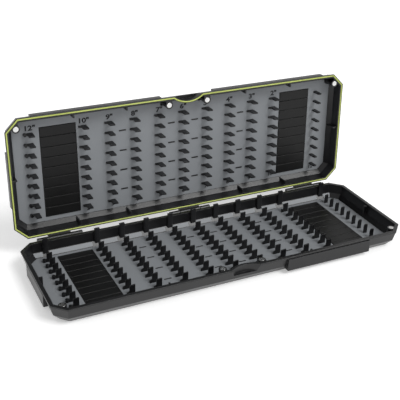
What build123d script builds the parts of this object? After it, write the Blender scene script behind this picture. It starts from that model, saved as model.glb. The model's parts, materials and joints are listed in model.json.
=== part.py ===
"""Hooklength box: a slim hinged case with two peg trays, shown lying open.

Frame: +X along the length, +Y to the hinge, +Z up.
The origin is the middle of the flat underside of the base.
The lid is drawn standing open, on a plane worked out from its hinge.
"""
from build123d import *
import math
import os

os.makedirs("parts", exist_ok=True)

# The spacing of the pegs: whole inches along, nine rows across
inch = 25.4
column_inches = [12, 10, 9, 8, 7, 6, 5, 4, 3, 2, 0]
middle_inch = 6
row_pitch = 10.1
row_steps = [-4, -3, -2, -1, 0, 1, 2, 3, 4]
row_shift = 1.7

# The tray goes round the pegs, with a margin from the outermost ones to the rim
end_margin = 25.1
side_margin = 18.9
corner_cut = 11.8
columns_l = (column_inches[0] - column_inches[-1]) * inch
rows_l = (row_steps[-1] - row_steps[0]) * row_pitch
length = columns_l + 2 * end_margin
width = rows_l + 2 * side_margin

# Heights, from the outside of a tray floor up to its rim
floor_t = 1.8
rail_t = 1.6
liner_t = 1.0
tray_depth = 13.6
panel_top = floor_t + rail_t + liner_t
rim_top = panel_top + tray_depth

# How far each outline of the moulding lies inside the rim outline
foot_inset = 9.2
knee_inset = 2.7
knee_height = 7.4
lip_inset = 0.5
lip_height = 1.6
cavity_inset = 9.8
recess_inset = 8.2
facet_inset = 4.3
facet_rise = 4.0
rim_inner_inset = 3.3

# One peg
blade_w = 5.2
slim_blade_w = 3.8
blade_t = 1.4
blade_h = 9.4
foot_reach = 2.4
foot_h = 1.9
web_h = 3.2
stub_d = 3.2
stub_h = 3.0
hole_gap = 0.2
rail_edge = 0.2
rail_end = 4.0

# Liner clips, which show as short dark dashes
clip_l = 7.0
clip_t = 1.2
clip_show = 0.2
clip_spots = [-2.5, -0.5, 0.5, 2.5]
clip_rows = [-3, -1, 1, 3]

# Foam pads, each between the last two columns at its end
foam_side = 8.25
foam_end = 4.6
foam_in = 0.6
foam_w = 2 * inch - 2 * foam_side
foam_l = rows_l + 2 * foam_end
foam_x = columns_l / 2 - inch - foam_in
foam_show = 0.8
foam_gap = 0.3
slit_t = 0.5
slit_deep = 0.9

# Magnets and their bosses
magnet_d = 5.0
magnet_t = 3.0
magnet_gap = 0.1
boss_d = 7.4
boss_down = 0.6
inner_magnet_x = 20.0
inner_magnet_y = width / 2 - 8.0
corner_magnet_x = length / 2 - 10.3
corner_magnet_y = width / 2 - 10.0

# Finger scoop in the front wall
scoop_half = 14.8
scoop_deep = 5.3
scoop_floor = panel_top + 6.4
scoop_wall = 2.4

# Rim seal
seal_w = 1.6
seal_deep = 1.2
seal_proud = 0.35
seal_inset = 1.4
groove_gap = 0.05

# Hinge
open_angle = 92.4
closed_gap = 0.4
hinge_back = 2.95
hinge_drop = 1.5
barrel_r = 2.4
pin_r = 1.0
pin_gap = 0.08
pin_fit = 0.02
pin_end = 0.6
hinge_l = 44.0
hinge_spots = [-135.7, 0.0, 135.7]
lid_knuckle_l = 22.0
knuckle_gap = 0.4
stop_gap = 0.05
heel_drop = 4.3
heel_top = 0.4

# Ribs
post_w = 5.0
post_up = 4.4
post_t = 2.1
rib_t = 1.4
rib_reach = 3.0
base_rib_x = [-72.5, 72.5]
lid_rib_x = [-114.0, -62.5, 62.5, 114.0]
clear = 0.6

# Raised bands on the outside of the walls
band_out = 0.8
base_band_x = [43.7, 134.5]
base_band_z = [3.8, 15.8]
lid_band_x = [27.3, 153.4]
lid_band_z = [10.0, 15.8]
end_band_half = 27.0

half_l = length / 2
half_w = width / 2
hinge_y = half_w + hinge_back
hinge_z = rim_top - hinge_drop
closed_height = 2 * rim_top + closed_gap
rail_l = rows_l + 2 * rail_end
scoop_r = (scoop_half ** 2 + scoop_deep ** 2) / (2 * scoop_deep)


def column_x(inches):
    """Distance of a peg column from the middle, on the whole-inch grid."""
    return (middle_inch - inches) * inch


def outline(inset):
    """The eight corners of the tray outline, moved in by an inset."""
    a = half_l - inset
    b = half_w - inset
    c = corner_cut - inset * (2 - math.sqrt(2))
    return [(-a, -b + c), (-a + c, -b), (a - c, -b), (a, -b + c), (a, b - c), (a - c, b), (-a + c, b), (-a, b - c)]


def rotate_open(y, z):
    """Carry a point of the shut lid about the hinge line to the open lid."""
    turn = math.radians(-open_angle)
    dy = y - hinge_y
    dz = z - hinge_z
    return (hinge_y + dy * math.cos(turn) - dz * math.sin(turn), hinge_z + dy * math.sin(turn) + dz * math.cos(turn))


lid_y, lid_z = rotate_open(0.0, closed_height)
lean = math.radians(open_angle - 90)
base = Plane.XY
lid = Plane(origin=(0, lid_y, lid_z), x_dir=(1, 0, 0), z_dir=(0, -math.cos(lean), math.sin(lean)))


def hull(home):
    """Outside of a tray: flat foot, sloped knee, leaning wall and lip."""
    steps = [(foot_inset, 0), (knee_inset, knee_height), (lip_inset, rim_top - lip_height)]
    for low, high in zip(steps[:-1], steps[1:]):
        with BuildSketch(home.offset(low[1])) as lower:
            Polygon(*outline(low[0]), align=None)
        with BuildSketch(home.offset(high[1])) as upper:
            Polygon(*outline(high[0]), align=None)
        loft([lower.sketch, upper.sketch])
    with BuildSketch(home.offset(rim_top - lip_height)) as lip:
        Polygon(*outline(0), align=None)
    extrude(lip.sketch, amount=lip_height)


def end_bands(home, heights):
    """A low raised band in the middle of each end wall."""
    with BuildSketch(home.offset(heights[0])) as face:
        for way in (-1, 1):
            with Locations((way * (half_l - 3), 0)):
                Rectangle(6 + band_out / 2, 2 * end_band_half)
    extrude(face.sketch, amount=heights[1] - heights[0])


def hollow(home):
    """Take out the inside: a well for the rails, a seat for the liner, a sloped foot and the wall."""
    with BuildSketch(home.offset(floor_t)) as face:
        Polygon(*outline(cavity_inset), align=None)
    extrude(face.sketch, amount=rail_t, mode=Mode.SUBTRACT)
    with BuildSketch(home.offset(floor_t + rail_t)) as face:
        Polygon(*outline(recess_inset), align=None)
    extrude(face.sketch, amount=liner_t, mode=Mode.SUBTRACT)
    steps = [(recess_inset, panel_top), (facet_inset, panel_top + facet_rise), (rim_inner_inset, rim_top)]
    for low, high in zip(steps[:-1], steps[1:]):
        with BuildSketch(home.offset(low[1])) as lower:
            Polygon(*outline(low[0]), align=None)
        with BuildSketch(home.offset(high[1])) as upper:
            Polygon(*outline(high[0]), align=None)
        loft([lower.sketch, upper.sketch], mode=Mode.SUBTRACT)


def scoop(home, side):
    """Finger scoop: the wall bulges in behind a round bite that stops at a ledge."""
    middle_y = side * (half_w - scoop_deep + scoop_r)
    wide = 4 * scoop_half
    deep = 4 * scoop_deep
    with BuildSketch(home.offset(panel_top + 0.5)) as face:
        with Locations((0, middle_y)):
            Circle(scoop_r + scoop_wall)
        with Locations((0, side * (half_w - scoop_deep - scoop_wall + deep / 2))):
            Rectangle(wide, deep, mode=Mode.INTERSECT)
        with Locations((0, side * (half_w - deep / 2 - lip_inset))):
            Rectangle(wide, deep, mode=Mode.INTERSECT)
    extrude(face.sketch, amount=rim_top - panel_top - 0.5)
    with BuildSketch(home.offset(scoop_floor)) as face:
        with Locations((0, middle_y)):
            Circle(scoop_r)
    extrude(face.sketch, amount=rim_top, mode=Mode.SUBTRACT)


def bosses(home, side):
    """Round posts by the front wall that hold the magnets, each webbed to the wall."""
    top = rim_top - boss_down
    spots = [(x, side * inner_magnet_y) for x in (-inner_magnet_x, inner_magnet_x)]
    spots += [(x, side * corner_magnet_y) for x in (-corner_magnet_x, corner_magnet_x)]
    with BuildSketch(home.offset(floor_t)) as face:
        with Locations(*spots):
            Circle(boss_d / 2)
        for x in (-inner_magnet_x, inner_magnet_x):
            with Locations((x, side * (half_w - 4.5))):
                Rectangle(boss_d - 1.2, 5.4)
        for way in (-1, 1):
            with Locations(Location((way * (half_l - 8.0), side * (half_w - 7.7)), way * side * 45)):
                Rectangle(7, boss_d - 1.2)
    extrude(face.sketch, amount=top - floor_t)
    with BuildSketch(home.offset(top - magnet_t)) as face:
        with Locations(*spots):
            RegularPolygon(magnet_d / 2 + magnet_gap, 24)
    extrude(face.sketch, amount=magnet_t + 1, mode=Mode.SUBTRACT)


def wall_ribs(home, side, spots, sides):
    """Thin gussets from the sloped foot up to just under the rim."""
    tall = rim_top - 1.2 - panel_top
    with BuildSketch(home.offset(panel_top)) as face:
        for way in sides:
            for x in spots:
                with Locations((x, way * side * (half_w - rim_inner_inset - rib_reach / 2))):
                    Rectangle(rib_t, rib_reach + 2)
        for way in (-1, 1):
            with Locations((way * (half_l - rim_inner_inset - rib_reach / 2), 0)):
                Rectangle(rib_reach + 2, rib_t)
    extrude(face.sketch, amount=tall)


def clips(home, side):
    """Small tabs that stand up through the liner and hold it."""
    with BuildSketch(home.offset(floor_t)) as face:
        for spot in clip_spots:
            for row in clip_rows:
                with Locations((spot * inch, side * -row_shift + row * row_pitch)):
                    Rectangle(clip_l, clip_t)
    extrude(face.sketch, amount=rail_t + liner_t + clip_show)


def peg_holes(home, side):
    """Openings in a liner for the pegs, the clips, the pads and the bosses."""
    middle = side * -row_shift
    with BuildSketch(home.offset(floor_t + rail_t)) as face:
        for inches in column_inches:
            wide = slim_blade_w if inches == column_inches[-1] else blade_w
            reach = 0 if inches == column_inches[-1] else foot_reach
            for row in row_steps:
                with Locations((column_x(inches) - reach / 2, middle + row * row_pitch)):
                    Rectangle(wide + reach + 2 * hole_gap, blade_t + 2 * hole_gap)
        for spot in clip_spots:
            for row in clip_rows:
                with Locations((spot * inch, middle + row * row_pitch)):
                    Rectangle(clip_l + 2 * hole_gap, clip_t + 2 * hole_gap)
        for way in (-1, 1):
            with Locations((way * foam_x, middle)):
                Rectangle(foam_w + 2 * foam_gap, foam_l + 2 * foam_gap)
        for x in (-inner_magnet_x, inner_magnet_x):
            with Locations((x, side * (inner_magnet_y + 2))):
                Rectangle(boss_d + 2 * hole_gap, boss_d + 4 + 2 * hole_gap)
        for x in (-corner_magnet_x, corner_magnet_x):
            with Locations((x, side * corner_magnet_y)):
                Circle(boss_d / 2 + 2 * hole_gap)
    extrude(face.sketch, amount=liner_t, mode=Mode.SUBTRACT)


def liner_sheet(home):
    """The plain grey sheet, a little smaller than its seat."""
    with BuildSketch(home.offset(floor_t + rail_t)) as face:
        Polygon(*outline(recess_inset + hole_gap), align=None)
    extrude(face.sketch, amount=liner_t)


def peg_rail(home, side, inches):
    """One column of nine pegs on the strip that joins them under the liner."""
    slim = inches == column_inches[-1]
    wide = slim_blade_w if slim else blade_w
    middle = side * -row_shift
    left = -wide / 2
    top = panel_top + blade_h
    spots = [(column_x(inches), middle + row * row_pitch) for row in row_steps]
    reach = 0 if slim else foot_reach
    with BuildSketch(home.offset(floor_t)) as face:
        with Locations((column_x(inches) - reach / 2, middle)):
            Rectangle(wide + reach + 2 * rail_edge, rail_l)
    extrude(face.sketch, amount=rail_t)
    upright = Plane(origin=home.origin, x_dir=home.x_dir, z_dir=home.y_dir * -1)
    for x, y in spots:
        with BuildSketch(upright.offset(-y - blade_t / 2)) as face:
            with Locations((x, 0)):
                if slim:
                    Polygon((left, floor_t), (-left, floor_t), (-left, top), (left + 0.9, top), (left, top - 2.4), align=None)
                else:
                    Polygon(
                        (left - foot_reach, floor_t),
                        (-left, floor_t),
                        (-left, top),
                        (left, top - 0.5),
                        (left, panel_top + web_h),
                        (left - foot_reach, panel_top + foot_h),
                        align=None,
                    )
        extrude(face.sketch, amount=blade_t)
    if inches == column_inches[0]:
        with BuildSketch(home.offset(panel_top + 0.1)) as face:
            with Locations(*[(x + left - foot_reach, y) for x, y in spots]):
                RegularPolygon(stub_d / 2, 12)
        extrude(face.sketch, amount=stub_h)


def foam_pad(home, side, way):
    """A pad of soft foam with eight slits across it, clear of everything round it."""
    middle = side * -row_shift
    with BuildSketch(home.offset(floor_t + foam_gap)) as face:
        with Locations((way * foam_x, middle)):
            Rectangle(foam_w, foam_l)
    extrude(face.sketch, amount=rail_t + liner_t + foam_show - foam_gap)
    with BuildSketch(home.offset(panel_top + foam_show - slit_deep)) as face:
        for row in row_steps[:-1]:
            with Locations((way * foam_x, middle + (row + 0.5) * row_pitch)):
                Rectangle(foam_w, slit_t)
    extrude(face.sketch, amount=slit_deep, mode=Mode.SUBTRACT)


def magnet(home, x, y):
    """One magnet disc, in the end of its boss. Both have the same 24 flats, to keep the part light."""
    with BuildSketch(home.offset(rim_top - boss_down - magnet_t + magnet_gap)) as face:
        with Locations((x, y)):
            RegularPolygon(magnet_d / 2, 24)
    extrude(face.sketch, amount=magnet_t - magnet_gap)


def seal_ring(half):
    """A closed band round the rim and the scoop, a given half width either side of the seal line."""
    with BuildSketch() as around:
        Polygon(*outline(seal_inset - half), align=None)
        with Locations((0, half_w - scoop_deep + scoop_r)):
            Circle(scoop_r + seal_inset - half, mode=Mode.SUBTRACT)
    with BuildSketch() as within:
        Polygon(*outline(seal_inset + half), align=None)
        with Locations((0, half_w - scoop_deep + scoop_r)):
            Circle(scoop_r + seal_inset + half, mode=Mode.SUBTRACT)
    with BuildSketch() as ring:
        add(around.sketch)
        add(within.sketch, mode=Mode.SUBTRACT)
    return ring.sketch


# The outside of the base tray, still solid. It also trims what stands against the walls.
with BuildPart() as base_outside:
    hull(base)
    end_bands(base, base_band_z)
    # The one raised band on the front wall, to the right of the scoop
    with BuildSketch(base.offset(base_band_z[0])):
        with Locations(((base_band_x[0] + base_band_x[1]) / 2, -half_w + 3)):
            Rectangle(base_band_x[1] - base_band_x[0], 6 + 2 * band_out)
    extrude(amount=base_band_z[1] - base_band_z[0])
    # Upright plates behind the rear wall carry the hinge
    with BuildSketch(base.offset(knee_height)):
        for spot in hinge_spots:
            with Locations((spot, half_w - 2)):
                Rectangle(hinge_l, 4)
    extrude(amount=rim_top - knee_height)

# The base tray. One black moulding, with everything that stands on it.
with BuildPart() as base_tray:
    add(base_outside.part)
    hollow(base)
    scoop(base, -1)
    bosses(base, -1)
    wall_ribs(base, -1, base_rib_x, [1])
    clips(base, -1)
    # Eleven ribs up the rear wall, one behind each peg column
    with BuildSketch(base.offset(floor_t)):
        for inches in column_inches:
            with Locations((column_x(inches), half_w - rim_inner_inset - clear)):
                Rectangle(post_w, 2 * post_t)
    extrude(amount=rim_top - floor_t)
    add(base_outside.part, mode=Mode.INTERSECT)
    # Each rib ends in a post that stands proud of the rim and guides the lid as it shuts
    with BuildSketch(base.offset(panel_top + facet_rise)):
        for inches in column_inches:
            with Locations((column_x(inches), half_w - rim_inner_inset - clear - post_t / 2)):
                Rectangle(post_w, post_t)
    extrude(amount=rim_top + post_up - panel_top - facet_rise)
    # Two hinge knuckles at each place, one at either end
    for spot in hinge_spots:
        for way in (-1, 1):
            start = spot + way * (lid_knuckle_l / 2 + knuckle_gap)
            stop = spot + way * hinge_l / 2
            with BuildSketch(Plane.YZ.offset(min(start, stop))):
                with Locations((hinge_y, hinge_z)):
                    Circle(barrel_r)
                Polygon(
                    (half_w - 1, hinge_z - barrel_r - hinge_back),
                    (hinge_y + 0.4, hinge_z - barrel_r + 0.1),
                    (hinge_y, hinge_z + barrel_r - 0.8),
                    (half_w - 1, rim_top - 0.8),
                    align=None,
                )
                with Locations((hinge_y, hinge_z)):
                    Circle(pin_r + pin_fit, mode=Mode.SUBTRACT)
            extrude(amount=abs(stop - start))
base_tray.part.label = "base_tray"
export_step(base_tray.part, "parts/base_tray.step")


# The outside of the lid tray, still solid
with BuildPart() as lid_outside:
    hull(lid)
    end_bands(lid, lid_band_z)
    with BuildSketch(lid.offset(lid_band_z[0])):
        for way in (-1, 1):
            with Locations((way * (lid_band_x[0] + lid_band_x[1]) / 2, half_w - 3)):
                Rectangle(lid_band_x[1] - lid_band_x[0], 6 + band_out / 2)
    extrude(amount=lid_band_z[1] - lid_band_z[0])

# The lid tray. The same moulding turned about, with a seal groove in its rim.
with BuildPart() as lid_tray:
    add(lid_outside.part)
    hollow(lid)
    scoop(lid, 1)
    bosses(lid, 1)
    wall_ribs(lid, 1, lid_rib_x, [-1, 1])
    clips(lid, 1)
    add(lid_outside.part, mode=Mode.INTERSECT)
    # One long knuckle at each hinge, with a flat heel that stops the lid open.
    # The heel ends below the hinge line, so that only the round barrel turns past the wall.
    for spot in hinge_spots:
        with BuildSketch(Plane.YZ.offset(spot - lid_knuckle_l / 2)):
            with Locations((hinge_y, hinge_z)):
                Circle(barrel_r)
            Polygon(
                (half_w + stop_gap, hinge_z - heel_drop),
                (hinge_y + 0.6, hinge_z - heel_drop),
                (hinge_y + barrel_r, hinge_z),
                rotate_open(half_w - knee_inset - 0.7, closed_height - knee_height - 0.5),
                rotate_open(half_w - lip_inset / 2, rim_top + closed_gap + 0.3),
                (half_w + stop_gap, hinge_z - heel_top),
                align=None,
            )
            with Locations((hinge_y, hinge_z)):
                Circle(pin_r + pin_gap, mode=Mode.SUBTRACT)
        extrude(amount=lid_knuckle_l)
    # The groove for the seal follows the rim and the scoop
    with BuildSketch(lid.offset(rim_top - seal_deep)):
        add(seal_ring(seal_w / 2 + groove_gap))
    extrude(amount=seal_deep, mode=Mode.SUBTRACT)
lid_tray.part.label = "lid_tray"
export_step(lid_tray.part, "parts/lid_tray.step")


# The rim seal. A lime rubber bead pressed into the groove of the lid.
with BuildPart() as lid_seal:
    with BuildSketch(lid.offset(rim_top - seal_deep)):
        add(seal_ring(seal_w / 2))
    extrude(amount=seal_deep + seal_proud)
lid_seal.part.label = "lid_seal"
export_step(lid_seal.part, "parts/lid_seal.step")


# The two grey liners
with BuildPart() as base_liner:
    liner_sheet(base)
    peg_holes(base, -1)
base_liner.part.label = "base_liner"
export_step(base_liner.part, "parts/base_liner.step")

with BuildPart() as lid_liner:
    liner_sheet(lid)
    peg_holes(lid, 1)
lid_liner.part.label = "lid_liner"
export_step(lid_liner.part, "parts/lid_liner.step")


# The pegs, one strip for each column in each tray
for tray_name, home, side in (("base", base, -1), ("lid", lid, 1)):
    for inches in column_inches:
        with BuildPart() as pegs:
            peg_rail(home, side, inches)
        pegs.part.label = f"{tray_name}_pegs_{inches}"
        export_step(pegs.part, f"parts/{pegs.part.label}.step")


# The foam pads and the magnets
for tray_name, home, side in (("base", base, -1), ("lid", lid, 1)):
    for hand, way in (("left", -1), ("right", 1)):
        with BuildPart() as foam:
            foam_pad(home, side, way)
        foam.part.label = f"{tray_name}_foam_{hand}"
        export_step(foam.part, f"parts/{foam.part.label}.step")
        with BuildPart() as inner_magnet:
            magnet(home, way * inner_magnet_x, side * inner_magnet_y)
        inner_magnet.part.label = f"{tray_name}_magnet_inner_{hand}"
        export_step(inner_magnet.part, f"parts/{inner_magnet.part.label}.step")
        with BuildPart() as corner_magnet:
            magnet(home, way * corner_magnet_x, side * corner_magnet_y)
        corner_magnet.part.label = f"{tray_name}_magnet_corner_{hand}"
        export_step(corner_magnet.part, f"parts/{corner_magnet.part.label}.step")


# The hinge pins, one steel wire through each set of knuckles
for hand, spot in zip(("left", "centre", "right"), hinge_spots):
    with BuildPart() as pin:
        with BuildSketch(Plane.YZ.offset(spot - hinge_l / 2 + pin_end)):
            with Locations((hinge_y, hinge_z)):
                Circle(pin_r)
        extrude(amount=hinge_l - 2 * pin_end)
    pin.part.label = f"hinge_pin_{hand}"
    export_step(pin.part, f"parts/{pin.part.label}.step")
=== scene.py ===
import json
import math

import bmesh
import bpy
from mathutils import Matrix, Vector, noise


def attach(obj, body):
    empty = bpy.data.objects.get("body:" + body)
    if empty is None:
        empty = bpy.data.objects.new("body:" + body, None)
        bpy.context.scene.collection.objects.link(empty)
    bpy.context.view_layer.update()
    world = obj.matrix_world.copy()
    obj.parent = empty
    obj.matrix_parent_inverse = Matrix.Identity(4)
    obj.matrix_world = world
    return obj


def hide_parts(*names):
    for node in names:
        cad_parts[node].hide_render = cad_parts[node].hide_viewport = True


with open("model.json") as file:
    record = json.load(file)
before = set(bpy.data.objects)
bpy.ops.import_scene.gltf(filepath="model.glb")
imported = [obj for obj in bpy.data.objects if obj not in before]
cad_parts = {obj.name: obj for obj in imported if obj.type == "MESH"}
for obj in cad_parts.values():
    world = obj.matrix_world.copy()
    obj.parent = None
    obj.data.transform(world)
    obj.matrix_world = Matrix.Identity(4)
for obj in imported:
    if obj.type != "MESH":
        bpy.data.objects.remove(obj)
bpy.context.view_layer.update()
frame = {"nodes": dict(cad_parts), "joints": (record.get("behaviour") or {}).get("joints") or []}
scene = bpy.context.scene

# The two trays: the base on the table and the lid standing open behind it.
# Each is one black moulding with a fine moulded grain.
# The edges are painted a little paler, a painted highlight where light catches the rounded rims.
rim_top = 0.018
closed_gap = 0.0004
hinge = frame["joints"][0]
hinge_spot = Vector(hinge["pos_m"])
open_angle = math.radians(hinge["range_deg"][1])
base_place = Matrix.Identity(4)
shut_place = Matrix.Translation((0, 0, 2 * rim_top + closed_gap)) @ Matrix.Rotation(math.pi, 4, "X")
to_hinge = Matrix.Translation(-hinge_spot)
lid_place = to_hinge.inverted() @ Matrix.Rotation(-open_angle, 4, "X") @ to_hinge @ shut_place


def moulded_skin():
    """A node group for moulded skins: mottled colour, a painted highlight that makes the edges paler, uneven
    gloss, grain height and rounded edges.
    """
    edge_radius = 0.0004
    sheen_start = 0.99
    sheen_full = 0.85
    group = bpy.data.node_groups.new("moulded_skin", "ShaderNodeTree")
    for label, kind, value in (
        ("Deep", "NodeSocketColor", (0.01, 0.01, 0.01, 1)),
        ("Pale", "NodeSocketColor", (0.03, 0.03, 0.03, 1)),
        ("Edge Sheen", "NodeSocketColor", (0.06, 0.06, 0.06, 1)),
        ("Grain Scale", "NodeSocketFloat", 2500.0),
        ("Mottle Scale", "NodeSocketFloat", 40.0),
        ("Rough Low", "NodeSocketFloat", 0.4),
        ("Rough High", "NodeSocketFloat", 0.5),
    ):
        group.interface.new_socket(label, in_out="INPUT", socket_type=kind).default_value = value
    for label, kind in (
        ("Colour", "NodeSocketColor"),
        ("Roughness", "NodeSocketFloat"),
        ("Height", "NodeSocketFloat"),
        ("Edge Normal", "NodeSocketVector"),
    ):
        group.interface.new_socket(label, in_out="OUTPUT", socket_type=kind)
    node = group.nodes.new
    link = group.links.new
    start = node("NodeGroupInput")
    end = node("NodeGroupOutput")
    where = node("ShaderNodeTexCoord")
    grain = node("ShaderNodeTexNoise")
    grain.inputs["Detail"].default_value = 3.0
    mottle = node("ShaderNodeTexNoise")
    mottle.inputs["Detail"].default_value = 5.0
    link(where.outputs["Object"], grain.inputs["Vector"])
    link(where.outputs["Object"], mottle.inputs["Vector"])
    link(start.outputs["Grain Scale"], grain.inputs["Scale"])
    link(start.outputs["Mottle Scale"], mottle.inputs["Scale"])
    shade = node("ShaderNodeMix")
    shade.data_type = "RGBA"
    link(mottle.outputs["Fac"], shade.inputs["Factor"])
    link(start.outputs["Deep"], shade.inputs["A"])
    link(start.outputs["Pale"], shade.inputs["B"])
    soft = node("ShaderNodeBevel")
    soft.samples = 4
    soft.inputs["Radius"].default_value = edge_radius
    flat = node("ShaderNodeNewGeometry")
    agree = node("ShaderNodeVectorMath")
    agree.operation = "DOT_PRODUCT"
    link(soft.outputs["Normal"], agree.inputs[0])
    link(flat.outputs["True Normal"], agree.inputs[1])
    # The edges get a paler colour here: a painted highlight, set by how far the rounded-edge normal turns
    # from the flat face.
    sheen_mask = node("ShaderNodeMapRange")
    sheen_mask.inputs["From Min"].default_value = sheen_start
    sheen_mask.inputs["From Max"].default_value = sheen_full
    link(agree.outputs["Value"], sheen_mask.inputs["Value"])
    edge_sheen = node("ShaderNodeMix")
    edge_sheen.data_type = "RGBA"
    link(sheen_mask.outputs["Result"], edge_sheen.inputs["Factor"])
    link(shade.outputs["Result"], edge_sheen.inputs["A"])
    link(start.outputs["Edge Sheen"], edge_sheen.inputs["B"])
    gloss = node("ShaderNodeMapRange")
    link(mottle.outputs["Fac"], gloss.inputs["Value"])
    link(start.outputs["Rough Low"], gloss.inputs["To Min"])
    link(start.outputs["Rough High"], gloss.inputs["To Max"])
    link(edge_sheen.outputs["Result"], end.inputs["Colour"])
    link(gloss.outputs["Result"], end.inputs["Roughness"])
    link(grain.outputs["Fac"], end.inputs["Height"])
    link(soft.outputs["Normal"], end.inputs["Edge Normal"])
    return group


skin = moulded_skin()


def skinned(name, deep, pale, edge_sheen, grain, mottle, rough, bump, specular=0.5, metal=0.0):
    """A material for one finish, with the moulded skin group set to that finish's own values."""
    grain_depth = 0.0001
    material = bpy.data.materials.new(name)
    material.use_nodes = True
    nodes = material.node_tree.nodes
    link = material.node_tree.links.new
    shader = nodes["Principled BSDF"]
    shader.inputs["Metallic"].default_value = metal
    shader.inputs["Specular IOR Level"].default_value = specular
    group = nodes.new("ShaderNodeGroup")
    group.node_tree = skin
    # The third colour is the painted highlight that the group lays along every rounded edge.
    for label, value in (("Deep", deep), ("Pale", pale), ("Edge Sheen", edge_sheen)):
        group.inputs[label].default_value = (*value, 1)
    group.inputs["Grain Scale"].default_value = grain
    group.inputs["Mottle Scale"].default_value = mottle
    group.inputs["Rough Low"].default_value = rough[0]
    group.inputs["Rough High"].default_value = rough[1]
    relief = nodes.new("ShaderNodeBump")
    relief.inputs["Strength"].default_value = bump
    relief.inputs["Distance"].default_value = grain_depth
    link(group.outputs["Colour"], shader.inputs["Base Color"])
    link(group.outputs["Roughness"], shader.inputs["Roughness"])
    link(group.outputs["Height"], relief.inputs["Height"])
    link(group.outputs["Edge Normal"], relief.inputs["Normal"])
    link(relief.outputs["Normal"], shader.inputs["Normal"])
    return material


def dress(names, material):
    """Give CAD nodes their finish."""
    for name in names:
        mesh = frame["nodes"][name].data
        mesh.materials.clear()
        mesh.materials.append(material)


tray_black = skinned(
    "tray_black",
    deep=(0.0035, 0.0035, 0.004),
    pale=(0.008, 0.008, 0.009),
    edge_sheen=(0.040, 0.040, 0.043),
    grain=2600,
    mottle=35,
    rough=(0.26, 0.38),
    bump=0.2,
)
dress(["base_tray", "lid_tray"], tray_black)

# The grey liners: a thin sheet of smooth satin plastic in the bottom of each tray.
# They are punched out for the pegs, and pressed in over the clips.
panel_top = 0.0044
liner_grey = skinned(
    "liner_grey",
    deep=(0.215, 0.228, 0.242),
    pale=(0.262, 0.275, 0.290),
    edge_sheen=(0.350, 0.360, 0.370),
    grain=1500,
    mottle=18,
    rough=(0.42, 0.55),
    bump=0.12,
    specular=0.4,
)
dress(["base_liner", "lid_liner"], liner_grey)

# The pegs: one strip of nine for each column, moulded in a darker satin black.
# They stand up through the liner, and the strip lies under it.
column_inches = [12, 10, 9, 8, 7, 6, 5, 4, 3, 2, 0]
middle_inch = 6
inch = 0.0254
peg_black = skinned(
    "peg_black",
    deep=(0.003, 0.003, 0.0035),
    pale=(0.006, 0.006, 0.007),
    edge_sheen=(0.025, 0.025, 0.027),
    grain=3200,
    mottle=120,
    rough=(0.3, 0.4),
    bump=0.2,
    specular=0.35,
)
for tray in ("base", "lid"):
    dress([f"{tray}_pegs_{inches}" for inches in column_inches], peg_black)


def column_x(inches):
    """How far along the box the column for a length stands."""
    return (middle_inch - inches) * inch


# The liner's flaps: short grey strips up the sloped foot of the base's rear wall, between the posts.
# They are taken to be turned-up tabs of the liner sheet, and lie against the black slope.
flap_t = 0.0004
flap_wide = 0.0044
flap_float = 0.00005
half_w = 0.0593
recess_inset = 0.0082
facet_inset = 0.0043
facet_rise = 0.004
post_half = 0.0025
after_post = 0.0008
before_post = 0.0030
first_bay = -0.1660
last_bay = 0.1645


def new_tree(name, inputs):
    """A Geometry Nodes tree with named inputs, and the node that they enter by."""
    tree = bpy.data.node_groups.new(name, "GeometryNodeTree")
    tree.interface.new_socket("Geometry", in_out="INPUT", socket_type="NodeSocketGeometry")
    for label, kind in inputs:
        tree.interface.new_socket(label, in_out="INPUT", socket_type=kind)
    tree.interface.new_socket("Finish", in_out="INPUT", socket_type="NodeSocketMaterial")
    tree.interface.new_socket("Geometry", in_out="OUTPUT", socket_type="NodeSocketGeometry")
    return tree, tree.nodes.new("NodeGroupInput")


def end_tree(tree, entry, shape):
    """Make a tree's shape real and give it its finish."""
    whole = tree.nodes.new("GeometryNodeRealizeInstances")
    paint = tree.nodes.new("GeometryNodeSetMaterial")
    leave = tree.nodes.new("NodeGroupOutput")
    tree.links.new(shape, whole.inputs["Geometry"])
    tree.links.new(whole.outputs["Geometry"], paint.inputs["Geometry"])
    tree.links.new(entry.outputs["Finish"], paint.inputs["Material"])
    tree.links.new(paint.outputs["Geometry"], leave.inputs["Geometry"])


def run_tree(tree, holder, values):
    """Run a tree on its holder with each named input set, and return the plain mesh."""
    scene.collection.objects.link(holder)
    layer = holder.modifiers.new(tree.name, "NODES")
    layer.node_group = tree
    for socket in tree.interface.items_tree:
        if socket.in_out == "INPUT" and socket.name in values:
            layer[socket.identifier] = values[socket.name]
    graph = bpy.context.evaluated_depsgraph_get()
    mesh = bpy.data.meshes.new_from_object(holder.evaluated_get(graph))
    bpy.data.objects.remove(holder)
    return mesh


def add_piece(name, mesh, body):
    """Put a mesh in the scene as a piece that moves with a body."""
    piece = bpy.data.objects.new(name, mesh)
    scene.collection.objects.link(piece)
    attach(piece, body)
    return piece


foot_low = Vector((0, half_w - recess_inset, panel_top))
foot_high = Vector((0, half_w - facet_inset, panel_top + facet_rise))
slope = math.atan2(foot_high.z - foot_low.z, foot_high.y - foot_low.y)
off_slope = Vector((0, -math.sin(slope), math.cos(slope))) * (flap_t / 2 + flap_float)
flap_middle = (foot_low + foot_high) / 2 + off_slope
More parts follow.
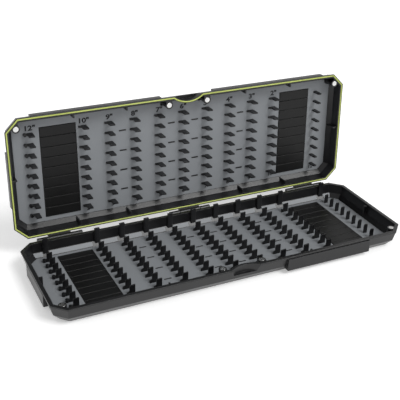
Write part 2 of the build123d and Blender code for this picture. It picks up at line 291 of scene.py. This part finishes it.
# Each flap starts just past one post and stops short of the next, and the first runs right up to its post
post_gaps = [after_post] + [before_post] * (len(column_inches) - 1)
bay_starts = [first_bay] + [column_x(inches) + post_half + after_post for inches in column_inches]
bay_ends = [column_x(inches) - post_half - gap for inches, gap in zip(column_inches, post_gaps)] + [last_bay]
bays = list(zip(bay_starts, bay_ends))
spots = bpy.data.meshes.new("flap_spots")
spots.from_pydata([((start + end) / 2, flap_middle.y, flap_middle.z) for start, end in bays], [], [])
bay_lengths = [end - start for start, end in bays]
spots.attributes.new("bay_length", "FLOAT", "POINT").data.foreach_set("value", bay_lengths)
flap_tree, entry = new_tree(
    "liner_flaps", [("Flap Size", "NodeSocketVector"), ("Flap Turn", "NodeSocketVector")]
)
sheet = flap_tree.nodes.new("GeometryNodeMeshCube")
stretch = flap_tree.nodes.new("GeometryNodeInputNamedAttribute")
stretch.data_type = "FLOAT"
stretch.inputs["Name"].default_value = "bay_length"
along = flap_tree.nodes.new("ShaderNodeCombineXYZ")
along.inputs["Y"].default_value = 1.0
along.inputs["Z"].default_value = 1.0
place_flaps = flap_tree.nodes.new("GeometryNodeInstanceOnPoints")
join = flap_tree.links.new
join(entry.outputs["Flap Size"], sheet.inputs["Size"])
join(entry.outputs["Geometry"], place_flaps.inputs["Points"])
join(sheet.outputs["Mesh"], place_flaps.inputs["Instance"])
join(entry.outputs["Flap Turn"], place_flaps.inputs["Rotation"])
join(stretch.outputs["Attribute"], along.inputs["X"])
join(along.outputs["Vector"], place_flaps.inputs["Scale"])
end_tree(flap_tree, entry, place_flaps.outputs["Instances"])
flap_mesh = run_tree(
    flap_tree,
    bpy.data.objects.new("flap_row", spots),
    {"Flap Size": (1.0, flap_wide, flap_t), "Flap Turn": (slope, 0.0, 0.0), "Finish": liner_grey},
)
flaps = add_piece("base_liner_flaps", flap_mesh, "base")

# The lengths printed on the liners in black ink, one over each column but the last.
# Small numbers at the far end of each column count the other way.
ink_t = 0.00004
length_high = 0.0046
length_y = 0.0439
return_high = 0.0034
return_y = -0.0463
return_sum = 12
capital_share = 0.7
bolder = 0.055
wider = 1.25
ink_black = skinned(
    "ink_black",
    deep=(0.006, 0.006, 0.007),
    pale=(0.016, 0.016, 0.018),
    edge_sheen=(0.020, 0.020, 0.022),
    grain=4000,
    mottle=300,
    rough=(0.45, 0.6),
    bump=0.1,
    specular=0.3,
)


def print_numbers(name, body, place, side):
    """All the numbers of one liner as a single thin layer of ink."""
    ink = bmesh.new()
    rows = [(f'{n}"', length_high, n, side * length_y) for n in column_inches[:-1]]
    rows += [(str(return_sum - n), return_high, n, side * return_y) for n in column_inches[1:]]
    for words, high, inches, y in rows:
        type_curve = bpy.data.curves.new("type", "FONT")
        type_curve.body = words
        type_curve.align_x = "CENTER"
        type_curve.align_y = "CENTER"
        type_curve.size = high / capital_share
        type_curve.extrude = ink_t / 2
        type_curve.offset = high * bolder
        type_curve.resolution_u = 3
        letters = bpy.data.objects.new("type", type_curve)
        scene.collection.objects.link(letters)
        graph = bpy.context.evaluated_depsgraph_get()
        shape = bpy.data.meshes.new_from_object(letters.evaluated_get(graph))
        spot = Matrix.Translation((column_x(inches), y, panel_top + ink_t))
        shape.transform(place @ spot @ Matrix.Diagonal((wider, 1, 1, 1)))
        ink.from_mesh(shape)
        bpy.data.objects.remove(letters)
        bpy.data.curves.remove(type_curve)
        bpy.data.meshes.remove(shape)
    mesh = bpy.data.meshes.new(name)
    ink.to_mesh(mesh)
    ink.free()
    mesh.materials.clear()
    mesh.materials.append(ink_black)
    for face in mesh.polygons:
        face.material_index = 0
    add_piece(name, mesh, body)


print_numbers("base_numbers", "base", base_place, -1)
print_numbers("lid_numbers", "lid", lid_place, 1)

# The foam pads: closed-cell foam cut to fit the windows in the liners.
# Eight slits across each pad grip a hook or a loose end, and their lips are soft.
row_pitch = 0.0101
row_shift = 0.0017
row_reach = 4
foam_side = 0.00825
foam_end = 0.0046
foam_in = 0.0006
foam_bottom = 0.0021
foam_top = 0.0052
foam_half_x = inch - foam_side
foam_half_y = row_reach * row_pitch + foam_end
foam_x = (middle_inch - 1) * inch - foam_in
slit_half = 0.00025
slit_deep = 0.0009
slit_foot_half = 0.0001
lip = 0.0004
lip_in = 0.3
edge_drop = 0.3
slit_drop = 0.25
flats_across = 18
flats_along = 4
uneven_high = 0.00006
uneven_room = 0.0001
uneven_fine = 160
patch_steps = (9, 5, 1.7)
foam_black = skinned(
    "foam_black",
    deep=(0.0025, 0.0025, 0.0025),
    pale=(0.006, 0.006, 0.006),
    edge_sheen=(0.034, 0.034, 0.034),
    grain=1800,
    mottle=60,
    rough=(0.32, 0.44),
    bump=0.35,
    specular=0.28,
)


def lip_points(edge, way, drop):
    """Three points over a soft lip: from its foot at an edge up to the flat face beside it."""
    return [(edge, -lip), (edge + way * lip * lip_in, -lip * drop), (edge + way * lip, 0.0)]


def flat_points(start, end, parts):
    """The points that divide a flat stretch into equal parts, without its two ends."""
    return [(start + (end - start) * k / parts, 0.0) for k in range(1, parts)]


def foam_pad(name, body, place, side, way, node):
    """One pad: nine bars between eight slits, with rounded lips and a slightly uneven face."""
    profile = lip_points(-foam_half_y, 1, edge_drop)
    for k in range(2 * row_reach):
        y = (k + 0.5 - row_reach) * row_pitch
        profile += flat_points(profile[-1][0], y - slit_half - lip, flats_along)
        profile += reversed(lip_points(y - slit_half, -1, slit_drop))
        profile += [(y - slit_foot_half, -slit_deep), (y + slit_foot_half, -slit_deep)]
        profile += lip_points(y + slit_half, 1, slit_drop)
    profile += flat_points(profile[-1][0], foam_half_y - lip, flats_along)
    profile += reversed(lip_points(foam_half_y, -1, edge_drop))
    across = lip_points(-foam_half_x, 1, edge_drop)
    across += flat_points(-foam_half_x + lip, foam_half_x - lip, flats_across)
    across += reversed(lip_points(foam_half_x, -1, edge_drop))
    middle = Vector((way * foam_x, -side * row_shift, 0))
    own_patch = Vector((way * patch_steps[0], side * patch_steps[1], patch_steps[2]))
    pad = bmesh.new()
    rows = []
    for y, drop in profile:
        row = []
        for x, fall in across:
            patch = Vector((x * uneven_fine, y * uneven_fine, 0)) + own_patch
            z = foam_top - uneven_room + min(drop, fall) + uneven_high * noise.noise(patch)
            row.append(pad.verts.new(middle + Vector((x, y, z))))
        rows.append(row)
    for low, high in zip(rows[:-1], rows[1:]):
        for corners in zip(low[:-1], low[1:], high[1:], high[:-1]):
            pad.faces.new(corners)
    right = [row[-1] for row in rows[1:-1]]
    left = [row[0] for row in rows[-2:0:-1]]
    rim = rows[0] + right + rows[-1][::-1] + left
    foot = [pad.verts.new((corner.co.x, corner.co.y, foam_bottom)) for corner in rim]
    for k in range(len(rim)):
        pad.faces.new((rim[k - 1], foot[k - 1], foot[k], rim[k]))
    pad.faces.new(foot[::-1])
    mesh = bpy.data.meshes.new(name)
    pad.to_mesh(mesh)
    pad.free()
    mesh.transform(place)
    mesh.materials.append(foam_black)
    cushion = add_piece(name, mesh, body)
    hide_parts(node)


for tray, place, side in (("base", base_place, -1), ("lid", lid_place, 1)):
    for hand, way in (("left", -1), ("right", 1)):
        foam_pad(f"{tray}_slit_foam_{hand}", tray, place, side, way, f"{tray}_foam_{hand}")

# The magnets: nickel-plated discs pressed into the bosses by the front wall.
# The plating is bright, with fine handling marks.
magnet_nickel = skinned(
    "magnet_nickel",
    deep=(0.60, 0.60, 0.59),
    pale=(0.74, 0.74, 0.73),
    edge_sheen=(0.80, 0.80, 0.79),
    grain=900,
    mottle=400,
    rough=(0.14, 0.26),
    bump=0.05,
    metal=1.0,
)
for tray in ("base", "lid"):
    for spot in ("inner", "corner"):
        dress([f"{tray}_magnet_{spot}_{hand}" for hand in ("left", "right")], magnet_nickel)

# The rim seal: a round lime rubber cord pressed into the groove of the lid's rim.
# It runs all the way round, and dips with the finger scoop.
half_l = 0.1775
corner_cut = 0.0118
scoop_half = 0.0148
scoop_deep = 0.0053
seal_inset = 0.0014
seal_proud = 0.00035
bead_r = 0.0008
bead_sides = 14
arc_steps = 16
seal_lime = skinned(
    "seal_lime",
    deep=(0.44, 0.52, 0.10),
    pale=(0.54, 0.61, 0.16),
    edge_sheen=(0.60, 0.66, 0.22),
    grain=1400,
    mottle=60,
    rough=(0.35, 0.5),
    bump=0.1,
)
seal_x = half_l - seal_inset
seal_y = half_w - seal_inset
cut = corner_cut - seal_inset * (2 - math.sqrt(2))
scoop_r = (scoop_half ** 2 + scoop_deep ** 2) / (2 * scoop_deep)
arc_r = scoop_r + seal_inset
arc_y = half_w - scoop_deep + scoop_r
reach = math.asin(math.sqrt(arc_r ** 2 - (arc_y - seal_y) ** 2) / arc_r)
path = [(-seal_x, -seal_y + cut), (-seal_x + cut, -seal_y), (seal_x - cut, -seal_y)]
path += [(seal_x, -seal_y + cut), (seal_x, seal_y - cut), (seal_x - cut, seal_y)]
bends = [reach * (1 - 2 * k / arc_steps) for k in range(arc_steps + 1)]
path += [(arc_r * math.sin(bend), arc_y - arc_r * math.cos(bend)) for bend in bends]
path += [(-seal_x + cut, seal_y), (-seal_x, seal_y - cut)]
groove_line = bpy.data.curves.new("seal_path", "CURVE")
groove_line.dimensions = "3D"
round_rim = groove_line.splines.new("POLY")
round_rim.points.add(len(path) - 1)
for point, (x, y) in zip(round_rim.points, path):
    point.co = (x, y, rim_top + seal_proud - bead_r, 1)
round_rim.use_cyclic_u = True
bead_tree, entry = new_tree("seal_bead", [("Bead Radius", "NodeSocketFloat")])
section = bead_tree.nodes.new("GeometryNodeCurvePrimitiveCircle")
section.inputs["Resolution"].default_value = bead_sides
sweep = bead_tree.nodes.new("GeometryNodeCurveToMesh")
smooth = bead_tree.nodes.new("GeometryNodeSetShadeSmooth")
join = bead_tree.links.new
join(entry.outputs["Geometry"], sweep.inputs["Curve"])
join(entry.outputs["Bead Radius"], section.inputs["Radius"])
join(section.outputs["Curve"], sweep.inputs["Profile Curve"])
join(sweep.outputs["Mesh"], smooth.inputs["Geometry"])
end_tree(bead_tree, entry, smooth.outputs["Geometry"])
seal_mesh = run_tree(
    bead_tree, bpy.data.objects.new("seal_line", groove_line), {"Bead Radius": bead_r, "Finish": seal_lime}
)
seal_mesh.transform(lid_place)
seal = add_piece("lid_seal_bead", seal_mesh, "lid")
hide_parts("lid_seal")

# The hinge pins: drawn steel wire through each set of knuckles.
# The wire keeps faint draw lines and a dull shine.
pin_steel = skinned(
    "pin_steel",
    deep=(0.38, 0.38, 0.39),
    pale=(0.50, 0.50, 0.51),
    edge_sheen=(0.58, 0.58, 0.58),
    grain=1200,
    mottle=500,
    rough=(0.28, 0.4),
    bump=0.1,
    metal=1.0,
)
dress([f"hinge_pin_{spot}" for spot in ("left", "centre", "right")], pin_steel)

# The table: a plain white surface that the box lies on, just under its flat foot.
# It glows a little, so that it shows white, and keeps the box's shadow.
table_half = 6.0
table_down = 0.0001
table_glow = 0.35
table_white = skinned(
    "table_white",
    deep=(0.90, 0.90, 0.90),
    pale=(0.93, 0.93, 0.93),
    edge_sheen=(0.93, 0.93, 0.93),
    grain=300,
    mottle=6,
    rough=(0.8, 0.9),
    bump=0.02,
    specular=0.1,
)
corners = [(x * table_half, y * table_half, -table_down) for x, y in ((-1, -1), (1, -1), (1, 1), (-1, 1))]
table_mesh = bpy.data.meshes.new("table")
table_mesh.from_pydata(corners, [], [(0, 1, 2, 3)])
table_mesh.materials.append(table_white)
white = table_white.node_tree
rays = white.nodes.new("ShaderNodeLightPath")
seen = rays.outputs["Is Camera Ray"]
for ray in ("Is Glossy Ray", "Is Transmission Ray"):
    either = white.nodes.new("ShaderNodeMath")
    either.operation = "MAXIMUM"
    white.links.new(seen, either.inputs[0])
    white.links.new(rays.outputs[ray], either.inputs[1])
    seen = either.outputs["Value"]
glow = white.nodes.new("ShaderNodeMapRange")
glow.inputs["To Max"].default_value = table_glow
white.links.new(seen, glow.inputs["Value"])
surface = white.nodes["Principled BSDF"]
white.links.new(glow.outputs["Result"], surface.inputs["Emission Strength"])
surface.inputs["Emission Color"].default_value = (1, 1, 1, 1)
table = bpy.data.objects.new("table", table_mesh)
scene.collection.objects.link(table)

# The studio light: a white room, dimmer overhead than round the sides.
# One broad lamp stands to the right and front.
low_sky = 0.1
high_sky = 0.8
side_light = 0.88
overhead_light = 0.42
lamp_from = Vector((0.55, -0.75, 1.0))
world = bpy.data.worlds.new("studio")
world.use_nodes = True
scene.world = world
room = world.node_tree
direction = room.nodes.new("ShaderNodeTexCoord")
parts = room.nodes.new("ShaderNodeSeparateXYZ")
dimmer = room.nodes.new("ShaderNodeMapRange")
dimmer.inputs["From Min"].default_value = low_sky
dimmer.inputs["From Max"].default_value = high_sky
dimmer.inputs["To Min"].default_value = side_light
dimmer.inputs["To Max"].default_value = overhead_light
room.links.new(direction.outputs["Generated"], parts.inputs["Vector"])
room.links.new(parts.outputs["Z"], dimmer.inputs["Value"])
room.links.new(dimmer.outputs["Result"], room.nodes["Background"].inputs["Strength"])
room.nodes["Background"].inputs["Color"].default_value = (1, 1, 1, 1)
key = bpy.data.lights.new("key", "SUN")
key.energy = 1.75
key.angle = math.radians(32)
lamp = bpy.data.objects.new("key", key)
lamp.rotation_euler = lamp_from.to_track_quat("Z", "Y").to_euler()
scene.collection.objects.link(lamp)

# The camera stands where the photograph was taken from.
# Its place and angles were worked out from the peg grid, whose spacing is known.
view = bpy.data.cameras.new("view")
view.lens = 72.74
view.sensor_width = 36.0
camera = bpy.data.objects.new("view", view)
camera.location = (-0.31053, -0.59305, 0.40137)
camera.rotation_euler = [math.radians(angle) for angle in (62.7876, -1.3523, -25.4626)]
scene.collection.objects.link(camera)
scene.camera = camera
scene.view_settings.view_transform = "Standard"
